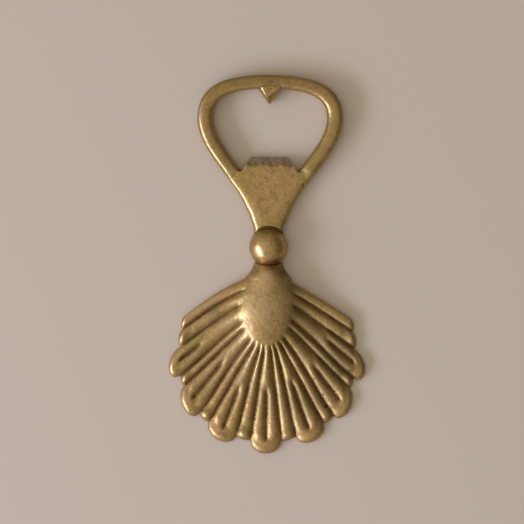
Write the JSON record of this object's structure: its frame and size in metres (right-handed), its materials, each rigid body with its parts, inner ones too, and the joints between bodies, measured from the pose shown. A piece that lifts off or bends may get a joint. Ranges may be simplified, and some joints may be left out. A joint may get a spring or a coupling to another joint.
{
  "type": "bottle opener",
  "caption": "Cast brass bottle opener: a rounded loop with a cap tooth, a web with a bevelled prying lip, a ball knop and a ribbed scallop shell handle.",
  "frame": {"origin": "under the middle of the opener, on its flat underside", "axes": "+Y from the shell towards the loop, +Z out of the decorated face, +X to the right seen from the face with the loop up"},
  "size_m": [0.0624, 0.12, 0.0083],
  "materials": {
    "aged_brass": "satin, aged, with dark patina in the grooves and brighter worn ridges"
  },
  "bodies": {
    "root": {"loop_frame": "aged_brass", "cap_tooth": "aged_brass", "web_plate": "aged_brass", "ball_knop": "aged_brass", "shell_handle": "aged_brass"}
  },
  "joints": []
}
